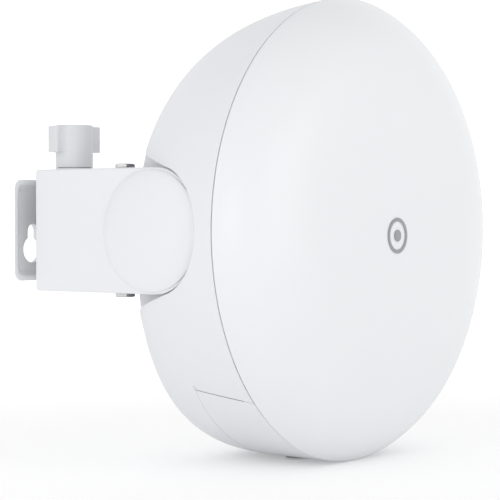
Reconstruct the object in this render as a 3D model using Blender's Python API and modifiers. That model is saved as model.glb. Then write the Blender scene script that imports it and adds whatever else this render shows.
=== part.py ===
"""Outdoor wireless bridge: a round dish radio on a one-sided arm with a wall bracket.

World frame: metres, +Z up. The origin is the centre of the wall plate's rear face.
+Y points into the wall, so the dish faces -Y. The dish axis lies to the +X side of the arm.
Nodes are plain functional solids. Dish pieces are modelled about the centre of the seam
circle between the radome and the rear shell, and placed at SEAM.
"""

import math

import bmesh
import bpy
from mathutils import Euler, Vector

# ---- driving dimensions (metres) ---------------------------------------------------
GAP = 0.0003                # clearance between touching pieces

DISH_OFFSET = 0.1005        # dish axis to the arm's swivel axis
WALL_DISTANCE = 0.1425      # seam plane to wall
SEAM = Vector((DISH_OFFSET, -WALL_DISTANCE, 0.0))

DISH_RADIUS = 0.1288
RADOME_DEPTH = 0.029        # from the seam to the middle of the face
RADOME_POWERS = (7.5, 1.10)    # flatness of the face and roundness of its rim
SEAM_WIDTH = 0.0018
WALL = 0.0025               # plastic wall thickness

BOWL_DEPTH = 0.095
BOWL_POWERS = (3.77, 7.2)   # roundness of the upper and the fuller lower bowl
BOWL_OFFSETS = (0.080, 0.032)
BOWL_BLEND_POWER = 6.0

PIVOT_Y = SEAM.y + 0.0454   # elevation axis, along X at z = 0
ARM_HALF_HEIGHT = 0.0331
ARM_OUTER_X = -0.0207       # cheek that faces away from the dish
ARM_INNER_X = 0.0140        # cheek that faces the dish
ARM_REAR_Y = -0.0145
ARM_WALL = 0.0040
ARM_SIDE_WALL = 0.0035
HOLLOW_HALF_HEIGHT = 0.0246
POCKET_RADIUS = 0.0338
POCKET_FLARE = math.radians(15.5)
POCKET_FLOOR_X = 0.0155
DRUM_RADIUS = 0.0235
RING_RADIUS = 0.0258
CAP_RADIUS = 0.0320
CAP_SPIGOT_RADIUS = 0.0298
CAP_BULGE = 0.0045

CLAMP_X = -0.0005
CLAMP_Y = -0.0619
M6_RADIUS = 0.003
M6_HEX = 0.010              # across flats
M6_HEAD = 0.0026
M8_RADIUS = 0.004

KNOB_Y = -0.0245            # azimuth axis, along Z at x = 0
KNUCKLE_RADIUS = 0.0100
KNUCKLE_HALF_HEIGHT = 0.0230
WASHER_THICKNESS = 0.0008
KNOB_BASE_Z = 0.0345
KNOB_HUB_RADIUS = 0.0103
KNOB_WING_Z = 0.0429
KNOB_TOP_Z = 0.0577
KNOB_WING_ANGLE = math.radians(-14.6)
KNOB_WING_REACH = 0.0147
KNOB_WING_HALF = 0.0045
KNOB_WING_CORNER = 0.0015
KNOB_FILLET = 0.0060         # hollow between a wing's flank and the hub
STUD_TOP_Z = 0.0505

PLATE_SIZE = 0.0562
PLATE_DEPTH = 0.0060
PLATE_FLOOR = 0.0033
PLATE_RIM = 0.0030
PLATE_DRAFT = 0.0062        # how much narrower each side is at the wall
KEYHOLE_X = 0.0110
KEYHOLE_Z = -0.0107
KEYHOLE_HEAD_RADIUS = 0.0074
KEYHOLE_SLOT_RADIUS = 0.0039
KEYHOLE_SLOT_Z = -0.0005

COVER_TILT = math.radians(7.4)      # the port cover's edges rise to the rear
COVER_CORNER = Vector((SEAM.y + 0.0385, -0.0845))   # (y, z) of its upper rear corner
COVER_GAP = 0.0006
BAY_Z = -0.0828             # underside of the port frame
BAY_THICKNESS = 0.0025
BADGE_Z = -0.003

STEPS = 48
PARTS = "wireless_bridge"
CUTTERS = "cutters"


# ---- scene and helpers -------------------------------------------------------------
def clear_scene():
    for item in list(bpy.data.objects):
        bpy.data.objects.remove(item, do_unlink=True)
    for name in (PARTS, CUTTERS):
        group = bpy.data.collections.new(name)
        bpy.context.scene.collection.children.link(group)


def file_under(obj, group_name):
    for group in list(obj.users_collection):
        group.objects.unlink(obj)
    bpy.data.collections[group_name].objects.link(obj)


def material(name, colour, roughness, metallic=0.0):
    made = bpy.data.materials.get(name)
    if made is None:
        made = bpy.data.materials.new(name)
        made.use_nodes = True
        shader = made.node_tree.nodes["Principled BSDF"]
        shader.inputs["Base Color"].default_value = (*colour, 1.0)
        shader.inputs["Roughness"].default_value = roughness
        shader.inputs["Metallic"].default_value = metallic
    return made


def white_plastic():
    return material("white_plastic", (0.86, 0.87, 0.88), 0.45)


def grey_plastic():
    return material("grey_plastic", (0.66, 0.67, 0.69), 0.5)


def steel():
    return material("steel", (0.62, 0.62, 0.63), 0.3, 1.0)


def aluminium():
    return material("aluminium", (0.75, 0.76, 0.78), 0.4, 1.0)


def black_rubber():
    return material("black_rubber", (0.04, 0.04, 0.045), 0.7)


def finish(obj, look=None):
    """File a finished piece as a part, or a shape without a look as a cutter."""
    if look is None:
        obj.hide_render = True
        obj.display_type = "WIRE"
        file_under(obj, CUTTERS)
    else:
        obj.data.materials.clear()
        obj.data.materials.append(look)
        file_under(obj, PARTS)
    return obj


def apply_scale(obj):
    obj.data.transform(obj.matrix_basis.to_3x3().to_4x4())
    obj.rotation_euler = (0.0, 0.0, 0.0)
    obj.scale = (1.0, 1.0, 1.0)
    obj.data.update()


def box(name, low, high, look=None):
    low = Vector(low)
    high = Vector(high)
    bpy.ops.mesh.primitive_cube_add(size=1.0, location=(low + high) / 2.0)
    obj = bpy.context.active_object
    obj.name = name
    obj.scale = high - low
    apply_scale(obj)
    return finish(obj, look)


AXIS_TURNS = {"X": (0.0, math.radians(90), 0.0), "Y": (math.radians(-90), 0.0, 0.0), "Z": (0.0, 0.0, 0.0)}


def rod(name, axis, start, radius, length, look=None, sides=32, spin=0.0):
    """A cylinder or prism that runs from start along an axis."""
    turn = Euler(AXIS_TURNS[axis])
    along = turn.to_matrix() @ Vector((0.0, 0.0, length / 2.0))
    bpy.ops.mesh.primitive_cylinder_add(vertices=sides, radius=radius, depth=length)
    obj = bpy.context.active_object
    obj.name = name
    obj.data.transform(Euler((0.0, 0.0, spin)).to_matrix().to_4x4())
    obj.data.transform(turn.to_matrix().to_4x4())
    obj.location = Vector(start) + along
    return finish(obj, look)


def turned(name, profile, facing, place, look=None, steps=STEPS, closed=False):
    """Turn a profile of (radius, height) points; height runs along the facing direction."""
    turns = {"-Y": (math.radians(90), 0.0, 0.0), "-X": (0.0, math.radians(-90), 0.0), "+Z": (0.0, 0.0, 0.0)}
    mesh = bpy.data.meshes.new(name)
    count = len(profile)
    edges = [(i, i + 1) for i in range(count - 1)]
    if closed:
        edges.append((count - 1, 0))
    mesh.from_pydata([(r, 0.0, h) for r, h in profile], edges, [])
    obj = bpy.data.objects.new(name, mesh)
    bpy.context.scene.collection.objects.link(obj)
    obj.location = place
    obj.rotation_euler = turns[facing]
    screw = obj.modifiers.new("Turn", "SCREW")
    screw.steps = steps
    screw.render_steps = steps
    screw.use_merge_vertices = True
    screw.merge_threshold = 0.00002
    return finish(obj, look)


def change(obj, other, operation):
    step = obj.modifiers.new(operation.title(), "BOOLEAN")
    step.operation = operation
    step.solver = "EXACT"
    step.object = other
    return obj


def cut(obj, *cutters):
    for cutter in cutters:
        change(obj, cutter, "DIFFERENCE")
    return obj


def join(obj, *others):
    for other in others:
        change(obj, other, "UNION")
    return obj


def hex_radius(flats):
    return flats / math.sqrt(3.0)


def arc(centre, radius, start, end, count):
    """Points (r, h) on an arc; angles in degrees from the +r direction."""
    points = []
    for i in range(count + 1):
        angle = math.radians(start + (end - start) * i / count)
        points.append((centre[0] + radius * math.cos(angle), centre[1] + radius * math.sin(angle)))
    return points


# ---- wall bracket --------------------------------------------------------------------
def keyhole(side):
    x = side * KEYHOLE_X
    depth = 2.0 * PLATE_DEPTH
    head = rod("keyhole_head", "Y", (x, -1.5 * PLATE_DEPTH, KEYHOLE_Z), KEYHOLE_HEAD_RADIUS, depth, sides=24)
    slot = box(
        "keyhole_slot",
        (x - KEYHOLE_SLOT_RADIUS, -1.5 * PLATE_DEPTH, KEYHOLE_Z),
        (x + KEYHOLE_SLOT_RADIUS, 0.5 * PLATE_DEPTH, KEYHOLE_SLOT_Z),
    )
    tip = rod("keyhole_tip", "Y", (x, -1.5 * PLATE_DEPTH, KEYHOLE_SLOT_Z), KEYHOLE_SLOT_RADIUS, depth, sides=20)
    return head, slot, tip


def round_uprights(obj, along, corner, segments):
    """Rounds the four edges of a box that run along the given axis."""
    mesh = obj.data
    work = bmesh.new()
    work.from_mesh(mesh)
    index = "xyz".index(along)
    edges = [e for e in work.edges if abs(e.verts[0].co[index] - e.verts[1].co[index]) > 1e-5]
    bmesh.ops.bevel(work, geom=edges, offset=corner, segments=segments, affect="EDGES", profile=0.5)
    work.to_mesh(mesh)
    work.free()


def pan(name, half, low_y, high_y, rear_half, corner, look=None):
    """Rounded square that narrows to rear_half at high_y."""
    obj = box(name, (-half, low_y, -half), (half, high_y, half), look)
    round_uprights(obj, "y", corner, 5)
    middle = max(v.co.y for v in obj.data.vertices) - 1e-5
    for vertex in obj.data.vertices:
        if vertex.co.y > middle:
            vertex.co.x *= rear_half / half
            vertex.co.z *= rear_half / half
    return obj


def wall_plate():
    """Shallow pan that flares towards its front rim, with two keyholes in its floor."""
    half = PLATE_SIZE / 2.0
    plate = pan("wall_plate", half, -PLATE_DEPTH, 0.0, half - PLATE_DRAFT, 0.0052, white_plastic())
    slope = PLATE_DRAFT / PLATE_DEPTH
    mouth = half - PLATE_RIM + slope * PLATE_DEPTH
    floor = half - PLATE_RIM - slope * (PLATE_DEPTH - PLATE_FLOOR)
    recess = pan("plate_recess", mouth, -2 * PLATE_DEPTH, -PLATE_FLOOR, floor, 0.0040)
    cut(plate, recess, *keyhole(-1), *keyhole(1))
    for z in FOOT_SCREW_Z:
        cut(plate, rod("foot_hole", "Y", (0.0, -PLATE_DEPTH, z), 0.0019, 2 * PLATE_DEPTH, sides=16))
    return plate


FOOT_SCREW_Z = (0.0165, -0.0196)


def azimuth_knuckle():
    """Fixed barrel inside the arm, on a web between the keyholes."""
    front = -PLATE_FLOOR - GAP
    half = KNUCKLE_HALF_HEIGHT
    barrel = rod("azimuth_knuckle", "Z", (0.0, KNOB_Y, -half), KNUCKLE_RADIUS, 2 * half, grey_plastic())
    web = box("knuckle_web", (-0.003, KNOB_Y, -0.0218), (0.003, front, 0.0218))
    foot_top = box("knuckle_foot_top", (-0.008, front - 0.003, 0.0095), (0.008, front, 0.0221))
    foot_low = box("knuckle_foot_low", (-0.005, front - 0.003, -0.0221), (0.005, front, -0.0171))
    join(barrel, web, foot_top, foot_low)
    cut(barrel, rod("knuckle_bore", "Z", (0.0, KNOB_Y, -0.03), M8_RADIUS + GAP, 0.06))
    for z in FOOT_SCREW_Z:
        cut(barrel, rod("foot_pilot", "Y", (0.0, front - 0.0080, z), 0.0019, 0.010, sides=16))
    return barrel


def foot_screws():
    for index, z in enumerate(FOOT_SCREW_Z):
        rod(f"foot_screw_{index + 1}", "Y", (0.0, -PLATE_FLOOR - 0.0075, z), 0.0015, 0.0070 + PLATE_FLOOR,
            steel(), sides=12)


# ---- arm -------------------------------------------------------------------------------
def arm_housing():
    """Flat-sided arm: a split clamp ring at the pivot and a hollow rear end."""
    arm = rod("arm_housing", "X", (ARM_OUTER_X, PIVOT_Y, 0.0), ARM_HALF_HEIGHT, ARM_INNER_X - ARM_OUTER_X,
              white_plastic(), sides=48)
    beam = box("arm_beam", (ARM_OUTER_X, PIVOT_Y, -ARM_HALF_HEIGHT), (ARM_INNER_X, ARM_REAR_Y, ARM_HALF_HEIGHT))
    join(arm, beam)
    bore = rod("arm_bore", "X", (ARM_OUTER_X - 0.01, PIVOT_Y, 0.0), RING_RADIUS + GAP, 0.06, sides=48)
    seat = rod("cap_seat", "X", (ARM_OUTER_X - 0.01, PIVOT_Y, 0.0), CAP_SPIGOT_RADIUS + GAP,
               0.0120, sides=48)
    hollow = box("arm_hollow", (ARM_OUTER_X + ARM_SIDE_WALL, KNOB_Y - 0.0125, -HOLLOW_HALF_HEIGHT),
                 (ARM_INNER_X - ARM_SIDE_WALL, 0.01, HOLLOW_HALF_HEIGHT))
    slit = box("clamp_slit", (ARM_OUTER_X + ARM_WALL, PIVOT_Y + 0.022, -0.0012),
               (ARM_INNER_X + 0.01, CLAMP_Y + 0.008, 0.0012))
    bolt_way = rod("clamp_way", "Z", (CLAMP_X, CLAMP_Y, -0.05), M6_RADIUS + GAP, 0.10, sides=24)
    stud_way = rod("stud_way", "Z", (0.0, KNOB_Y, -0.05), M8_RADIUS + GAP, 0.10, sides=24)
    head_seat = rod("stud_head_seat", "Z", (0.0, KNOB_Y, -0.045), 0.0085,
                    0.045 - ARM_HALF_HEIGHT + ARM_WALL, sides=24)
    cut(arm, bore, seat, hollow, slit, bolt_way, stud_way, head_seat)
    return arm


def arm_cap():
    """Shallow domed cap with a spigot that plugs the clamp ring's outer mouth."""
    face = -ARM_OUTER_X
    rise = CAP_BULGE
    dome = (CAP_RADIUS ** 2 + rise ** 2) / (2.0 * rise)
    profile = [(0.0, face + GAP + 0.0012 + rise)]
    for i in range(1, 5):
        r = CAP_RADIUS * i / 4.0
        profile.append((r, face + GAP + 0.0012 + rise - dome + math.sqrt(dome ** 2 - r ** 2)))
    profile += [(CAP_RADIUS, face + GAP), (CAP_SPIGOT_RADIUS, face + GAP)]
    profile += [(CAP_SPIGOT_RADIUS, face - 0.0015), (0.0, face - 0.0015)]
    return turned("arm_cap", profile, "-X", (0.0, PIVOT_Y, 0.0), white_plastic())


def clamp_bolt():
    """Upright bolt and nut that pinch the split ring."""
    top = ARM_HALF_HEIGHT + GAP
    shank = rod("clamp_bolt", "Z", (CLAMP_X, CLAMP_Y, -top - M6_HEAD), M6_RADIUS, 2 * top + 2 * M6_HEAD,
                steel(), sides=20)
    join(shank, rod("clamp_head", "Z", (CLAMP_X, CLAMP_Y, top), hex_radius(M6_HEX), M6_HEAD, sides=6,
                    spin=math.radians(18)))
    nut = rod("clamp_nut", "Z", (CLAMP_X, CLAMP_Y, -top - M6_HEAD), hex_radius(M6_HEX), M6_HEAD, steel(),
              sides=6, spin=math.radians(18))
    cut(nut, rod("clamp_nut_thread", "Z", (CLAMP_X, CLAMP_Y, -top - 0.006), M6_RADIUS + GAP, 0.008, sides=20))
    return shank


def knob_stud():
    """Carriage bolt up through the arm, the knuckle and its two bushes."""
    head_low = -ARM_HALF_HEIGHT + 0.0004
    head = rod("knob_stud", "Z", (0.0, KNOB_Y, head_low), 0.0080, ARM_WALL - 0.0004 - GAP, steel(), sides=24)
    shank = rod("stud_shank", "Z", (0.0, KNOB_Y, head_low), M8_RADIUS, STUD_TOP_Z - head_low, sides=20)
    join(head, shank)
    thick = HOLLOW_HALF_HEIGHT - KNUCKLE_HALF_HEIGHT - 2 * GAP
    for name, low in (("pivot_bush_top", KNUCKLE_HALF_HEIGHT + GAP), ("pivot_bush_bottom", GAP - HOLLOW_HALF_HEIGHT)):
        disc = rod(name, "Z", (0.0, KNOB_Y, low), 0.0095, thick, black_rubber(), sides=24)
        cut(disc, rod(f"{name}_hole", "Z", (0.0, KNOB_Y, low - 0.002), M8_RADIUS + GAP, 0.01, sides=20))


def friction_ring():
    """Split ring that grips the dish's drum inside the arm's bore."""
    length = ARM_INNER_X - ARM_OUTER_X - 0.0060
    profile = [(RING_RADIUS, length), (RING_RADIUS, 0.0), (DRUM_RADIUS + GAP, 0.0), (DRUM_RADIUS + GAP, length)]
    ring = turned("friction_ring", profile, "-X", (ARM_INNER_X, PIVOT_Y, 0.0), grey_plastic(), closed=True)
    return ring


# ---- knob ------------------------------------------------------------------------------
def knob_washer():
    disc = rod("knob_washer", "Z", (0.0, KNOB_Y, ARM_HALF_HEIGHT + GAP), KNOB_HUB_RADIUS, WASHER_THICKNESS,
               grey_plastic(), sides=32)
    cut(disc, rod("knob_washer_hole", "Z", (0.0, KNOB_Y, ARM_HALF_HEIGHT - 0.002), M8_RADIUS + GAP, 0.008,
                  sides=20))
    return disc


def knob_wings(low, height):
    """Both wings as one prism, each flank running into the hub through a hollow fillet."""
    hub = KNOB_HUB_RADIUS - 0.0002
    side = KNOB_WING_HALF + KNOB_FILLET
    along = math.sqrt((hub + KNOB_FILLET) ** 2 - side ** 2)
    corner = (KNOB_WING_REACH - KNOB_WING_CORNER, KNOB_WING_HALF - KNOB_WING_CORNER)
    quarter = arc(corner, KNOB_WING_CORNER, 0, 90, 3)
    quarter += arc((along, side), KNOB_FILLET, 270, 180 + math.degrees(math.atan2(side, along)), 5)
    plan = []
    for sx, sy in ((1, 1), (-1, 1), (-1, -1), (1, -1)):
        turn = quarter if sx == sy else quarter[::-1]
        plan += [(sx * x, sy * y) for x, y in turn]
    count = len(plan)
    mesh = bpy.data.meshes.new("knob_wings")
    faces = [tuple(range(count))[::-1], tuple(range(count, 2 * count))]
    faces += [(i, (i + 1) % count, count + (i + 1) % count, count + i) for i in range(count)]
    mesh.from_pydata([(x, y, z) for z in (0.0, height) for x, y in plan], [], faces)
    wings = bpy.data.objects.new("knob_wings", mesh)
    bpy.context.scene.collection.objects.link(wings)
    wings.location = (0.0, KNOB_Y, low)
    wings.rotation_euler = (0.0, 0.0, KNOB_WING_ANGLE)
    return finish(wings)


def knob():
    """Hand knob: a hub with two rounded wings, standing on its own axis."""
    hub = rod("knob", "Z", (0.0, KNOB_Y, KNOB_BASE_Z), KNOB_HUB_RADIUS, KNOB_TOP_Z - KNOB_BASE_Z,
              grey_plastic(), sides=32)
    join(hub, knob_wings(KNOB_WING_Z, KNOB_TOP_Z - KNOB_WING_Z - 0.0006))
    cut(hub, rod("knob_socket", "Z", (0.0, KNOB_Y, KNOB_BASE_Z - 0.002), 0.0072, 0.0090, sides=24))
    cut(hub, rod("knob_bore", "Z", (0.0, KNOB_Y, KNOB_BASE_Z - 0.002), M8_RADIUS + GAP, 0.0195, sides=20))
    insert = rod("knob_insert", "Z", (0.0, KNOB_Y, KNOB_BASE_Z + 0.0002), 0.0069, 0.0064, steel(), sides=6)
    cut(insert, rod("insert_thread", "Z", (0.0, KNOB_Y, KNOB_BASE_Z - 0.002), M8_RADIUS + GAP, 0.012, sides=20))
    return hub


# ---- dish: radome and rear shell ----------------------------------------------------------
def radome_profile(inset, steps):
    """From the middle of the face to the rim at the seam, as (radius, height) points."""
    rim = DISH_RADIUS - inset
    rise = RADOME_DEPTH - inset - SEAM_WIDTH / 2.0
    points = [(0.0, RADOME_DEPTH - inset)]
    for i in range(1, steps + 1):
        share = 1.0 - (1.0 - i / steps) ** 2.0
        height = rise * max(0.0, 1.0 - share ** RADOME_POWERS[0]) ** (1.0 / RADOME_POWERS[1])
        points.append((rim * share, SEAM_WIDTH / 2.0 + height))
    return points


def radome():
    """Closed front: a domed face with a rounded rim, open at the seam."""
    profile = radome_profile(0.0, 11) + radome_profile(WALL, 9)[::-1]
    return turned("radome", profile, "-Y", SEAM, white_plastic())


def seam_gasket():
    outer = DISH_RADIUS - 0.0010
    inner = DISH_RADIUS - WALL + 0.0001
    half = SEAM_WIDTH / 2.0 - GAP
    profile = [(outer, half), (outer, -half), (inner, -half), (inner, half)]
    return turned("seam_gasket", profile, "-Y", SEAM, black_rubber(), closed=True)


def bowl_radius(y, angle, inset):
    """Radius of the bowl at a depth behind the seam and an angle about the dish axis."""
    low = ((1.0 - math.sin(angle)) / 2.0) ** BOWL_BLEND_POWER
    power = BOWL_POWERS[0] + (BOWL_POWERS[1] - BOWL_POWERS[0]) * low
    offset = BOWL_OFFSETS[0] + (BOWL_OFFSETS[1] - BOWL_OFFSETS[0]) * low
    depth = BOWL_DEPTH - inset
    here = (max(y, 0.0) + offset) / (depth + offset)
    mouth = offset / (depth + offset)
    return (DISH_RADIUS - inset) * ((1.0 - here ** power) / (1.0 - mouth ** power)) ** (1.0 / power)


def bowl_surface(name, inset, mouth_y, look=None, around=48, along=10):
    """Lofted bowl: rounded at the back, leaning in a little at the mouth, fuller below."""
    mesh = bpy.data.meshes.new(name)
    work = bmesh.new()
    radius = DISH_RADIUS - inset
    rings = []
    front = [work.verts.new((radius * math.cos(a), mouth_y, radius * math.sin(a)))
             for a in (2 * math.pi * i / around for i in range(around))]
    rings.append(front)
    for j in range(1, along):
        y = mouth_y + (BOWL_DEPTH - inset - mouth_y) * math.sin(0.5 * math.pi * j / along)
        ring = []
        for i in range(around):
            angle = 2 * math.pi * i / around
            r = bowl_radius(y, angle, inset)
            ring.append(work.verts.new((r * math.cos(angle), y, r * math.sin(angle))))
        rings.append(ring)
    pole = work.verts.new((0.0, BOWL_DEPTH - inset, 0.0))
    for near, far in zip(rings, rings[1:]):
        for i in range(around):
            k = (i + 1) % around
            work.faces.new((near[i], near[k], far[k], far[i]))
    for i in range(around):
        work.faces.new((rings[-1][i], rings[-1][(i + 1) % around], pole))
    work.faces.new(list(reversed(front)))
    bmesh.ops.recalc_face_normals(work, faces=work.faces[:])
    work.to_mesh(mesh)
    work.free()
    obj = bpy.data.objects.new(name, mesh)
    bpy.context.scene.collection.objects.link(obj)
    obj.location = SEAM
    return finish(obj, look)


def pocket_cutter(name, grow):
    """Round pocket about the elevation axis that flares to the rear for the arm's travel."""
    radius = POCKET_RADIUS + grow
    floor = POCKET_FLOOR_X + grow
    pocket = rod(name, "X", (-0.06, PIVOT_Y, 0.0), radius, 0.06 + floor, sides=48)
    for side in (-1, 1):
        wing = box(f"{name}_flare", (-0.06, 0.0, -radius), (floor, 0.12, radius))
        wing.data.transform(Euler((side * POCKET_FLARE, 0.0, 0.0)).to_matrix().to_4x4() @
                            wing.matrix_basis.copy())
        wing.location = (0.0, PIVOT_Y, 0.0)
        join(pocket, wing)
    return pocket


def cover_window(name, shrink):
    """Everything below and in front of the port cover's tilted upper and rear edges."""
    window = box(name, (-DISH_RADIUS, -0.08, -0.08), (DISH_RADIUS, -shrink, -shrink))
    window.data.transform(window.matrix_basis.copy())
    window.location = (SEAM.x, COVER_CORNER.x, COVER_CORNER.y)
    window.rotation_euler = (COVER_TILT, 0.0, 0.0)
    return window


def rear_shell():
    shell = bowl_surface("rear_shell", 0.0, SEAM_WIDTH / 2.0, white_plastic())
    core = bowl_surface("shell_core", WALL, -0.004)
    cut(core, pocket_cutter("pocket_skin", WALL))
    cut(shell, pocket_cutter("pocket", 0.0), core, cover_window("cover_opening", 0.0))
    for x, z in DRUM_SCREWS:
        cut(shell, rod("drum_screw_way", "X", (POCKET_FLOOR_X - 0.01, PIVOT_Y + x, z), 0.0018, 0.03, sides=12))
    return shell


DRUM_SCREWS = [(0.0135 * math.cos(a), 0.0135 * math.sin(a)) for a in (math.pi * (2 * i + 1) / 4 for i in range(4))]


# ---- dish: pivot drum ------------------------------------------------------------------------
def pivot_drum():
    """Drum on the pocket floor that the arm's ring clamps; the screws come from inside."""
    start = ARM_OUTER_X + 0.0045
    drum = rod("pivot_drum", "X", (start, PIVOT_Y, 0.0), DRUM_RADIUS, POCKET_FLOOR_X - GAP - start,
               aluminium(), sides=48)
    cut(drum, rod("drum_hollow", "X", (start - 0.01, PIVOT_Y, 0.0), 0.0085, 0.060, sides=24))
    for y, z in DRUM_SCREWS:
        cut(drum, rod("drum_thread", "X", (0.0, PIVOT_Y + y, z), 0.0018, 0.05, sides=12))
    for index, (y, z) in enumerate(DRUM_SCREWS):
        back = POCKET_FLOOR_X + WALL + GAP
        screw = rod(f"drum_screw_{index + 1}", "X", (0.0015, PIVOT_Y + y, z), 0.0015, back - 0.0015 + 0.0010,
                    steel(), sides=12)
        join(screw, rod("drum_screw_head", "X", (back, PIVOT_Y + y, z), 0.0032, 0.0022, sides=16))
    return drum


# ---- dish: inside ----------------------------------------------------------------------------
def dish_point(x, y, z):
    return (SEAM.x + x, SEAM.y + y, z)


def reflector():
    focal = 0.095
    rim = 0.108
    vertex = -0.0215
    thick = 0.0015
    hole = 0.0100
    radii = [hole + (rim - hole) * i / 5.0 for i in range(6)]
    front = [(r, vertex + r * r / (4 * focal)) for r in radii]
    back = [(r, vertex - thick + r * r / (4 * focal)) for r in reversed(radii)]
    return turned("reflector", front + back, "-Y", SEAM, aluminium(), steps=32, closed=True)


def feed_horn():
    profile = [(0.0, 0.0040), (0.0060, 0.0040), (0.0090, -0.0100), (0.0090, -0.0350), (0.0, -0.0350)]
    horn = turned("feed_horn", profile, "-Y", SEAM, aluminium(), steps=32)
    return horn


def sub_reflector():
    inner = RADOME_DEPTH - WALL - GAP
    profile = [(0.0, inner - 0.0003), (0.0180, inner - 0.0005), (0.0180, inner - 0.0030), (0.0080, inner - 0.0060),
               (0.0, inner - 0.0072)]
    return turned("sub_reflector", profile, "-Y", SEAM, aluminium(), steps=32)


def core_frame():
    """Cast plate behind the reflector, with a stem under the feed and a rim."""
    plate = box("core_frame", dish_point(-0.072, 0.0365, -0.062), dish_point(0.072, 0.0395, 0.062), aluminium())
    cut(plate, rod("feed_way", "Y", dish_point(0.0, 0.030, 0.0), 0.0093, 0.02, sides=24))
    return plate


def electronics():
    green = material("circuit_board", (0.05, 0.20, 0.10), 0.5)
    box("radio_board", dish_point(-0.066, 0.0445, -0.056), dish_point(0.066, 0.0461, 0.056), green)
    box("rf_shield", dish_point(-0.030, 0.0400, -0.026), dish_point(0.030, 0.0442, 0.026), steel())
    box("heat_spreader", dish_point(-0.038, 0.0464, -0.034), dish_point(0.038, 0.0540, 0.034), aluminium())
    ceramic = material("ceramic", (0.75, 0.68, 0.55), 0.6)
    box("gps_patch", dish_point(-0.009, 0.0464, 0.038), dish_point(0.009, 0.0505, 0.054), ceramic)
    for index, (x, z) in enumerate(((-0.060, -0.050), (0.060, -0.050), (-0.060, 0.050), (0.060, 0.050))):
        rod(f"board_post_{index + 1}", "Y", dish_point(x, 0.0398, z), 0.0030, 0.0044, steel(), sides=6)


# ---- dish: port bay -----------------------------------------------------------------------------
CLIP_COUNT = 6
JACK_X = -0.012
JACK_Y = 0.0275


def port_frame():
    """Shelf across the bowl's bottom opening that carries the socket and the button."""
    slab = box("port_frame", dish_point(-0.128, 0.0075, BAY_Z), dish_point(0.128, 0.0485, BAY_Z + BAY_THICKNESS),
               grey_plastic())
    change(slab, bowl_surface("bay_limit", WALL + GAP, -0.004), "INTERSECT")
    cut(slab, box("jack_window", dish_point(JACK_X - 0.0084, JACK_Y - 0.0072, BAY_Z - 0.01),
                  dish_point(JACK_X + 0.0084, JACK_Y + 0.0072, BAY_Z + 0.01)))
    cut(slab, rod("button_way", "Z", dish_point(0.014, JACK_Y, BAY_Z - 0.01), 0.0021, 0.02, sides=16))
    cut(slab, rod("light_way", "Z", dish_point(0.024, JACK_Y, BAY_Z - 0.01), 0.0018, 0.02, sides=16))
    return slab


def ethernet_jack():
    """Screened socket that opens downwards."""
    low = BAY_Z + 0.0002
    jack = box("ethernet_jack", dish_point(JACK_X - 0.0081, JACK_Y - 0.0069, low),
               dish_point(JACK_X + 0.0081, JACK_Y + 0.0069, low + 0.0180), steel())
    cut(jack, box("jack_socket", dish_point(JACK_X - 0.0060, JACK_Y - 0.0045, low - 0.01),
                  dish_point(JACK_X + 0.0060, JACK_Y + 0.0045, low + 0.0140)))
    return jack


def bay_details():
    clear = material("light_pipe", (0.80, 0.85, 0.85), 0.2)
    rod("light_pipe", "Z", dish_point(0.024, JACK_Y, BAY_Z - 0.0008), 0.0015, 0.0080, clear, sides=16)
    button = rod("reset_button", "Z", dish_point(0.014, JACK_Y, BAY_Z - 0.0012), 0.0016, 0.0070, black_rubber(),
                 sides=16)
    ground = rod("ground_screw", "Z", dish_point(-0.040, JACK_Y, BAY_Z - 0.0030), 0.0036, 0.0026, steel(), sides=6)
    rod("vent_plug", "Z", dish_point(0.036, JACK_Y, BAY_Z - 0.0024), 0.0045, 0.0020, black_rubber(), sides=16)
    return button, ground


def radome_clips():
    """Six clips inside the rim that hold the two halves of the shell together."""
    for index in range(CLIP_COUNT):
        turn = Euler((0.0, 2.0 * math.pi * (index + 0.5) / CLIP_COUNT, 0.0))
        clip = box(f"radome_clip_{index + 1}", (-0.0060, -0.0035, 0.1150), (0.0060, 0.0060, 0.1185), grey_plastic())
        clip.location = SEAM + turn.to_matrix() @ Vector((0.0, 0.00125, 0.11675))
        clip.rotation_euler = turn


def port_cover():
    """Bottom panel of the bowl; it slides straight down off the opening."""
    cover = bowl_surface("port_cover", 0.0005, SEAM_WIDTH / 2.0, white_plastic())
    core = bowl_surface("cover_core", WALL, -0.004)
    keep = cover_window("cover_extent", COVER_GAP)
    cut(cover, core)
    change(cover, keep, "INTERSECT")
    cut(cover, rod("cable_way", "Z", dish_point(JACK_X, 0.0300, -0.16), 0.0065, 0.06, sides=24))
    return cover


def cable_grommet():
    profile = [(0.0062, -0.1190), (0.0062, -0.1280), (0.0034, -0.1280), (0.0034, -0.1190)]
    place = dish_point(JACK_X, 0.0300, 0.0)
    return turned("cable_grommet", profile, "+Z", place, black_rubber(), steps=24, closed=True)


# ---- badge -----------------------------------------------------------------------------------------
def badge():
    """Plain ring and dot on the middle of the face."""
    grey = material("badge_grey", (0.55, 0.56, 0.58), 0.4)
    face = RADOME_DEPTH + GAP
    place = SEAM + Vector((0.0, 0.0, BADGE_Z))
    ring = [(0.0098, face + 0.0003), (0.0098, face), (0.0078, face), (0.0078, face + 0.0003)]
    turned("badge_ring", ring, "-Y", place, grey, closed=True)
    dot = [(0.0, face + 0.0003), (0.0032, face + 0.0003), (0.0032, face), (0.0, face)]
    turned("badge_dot", dot, "-Y", place, grey, steps=24)


def main():
    clear_scene()
    wall_plate()
    azimuth_knuckle()
    foot_screws()
    arm_housing()
    arm_cap()
    clamp_bolt()
    knob_stud()
    friction_ring()
    knob_washer()
    knob()
    radome()
    seam_gasket()
    radome_clips()
    rear_shell()
    pivot_drum()
    reflector()
    feed_horn()
    sub_reflector()
    core_frame()
    electronics()
    port_frame()
    ethernet_jack()
    bay_details()
    port_cover()
    cable_grommet()
    badge()


main()
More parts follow.
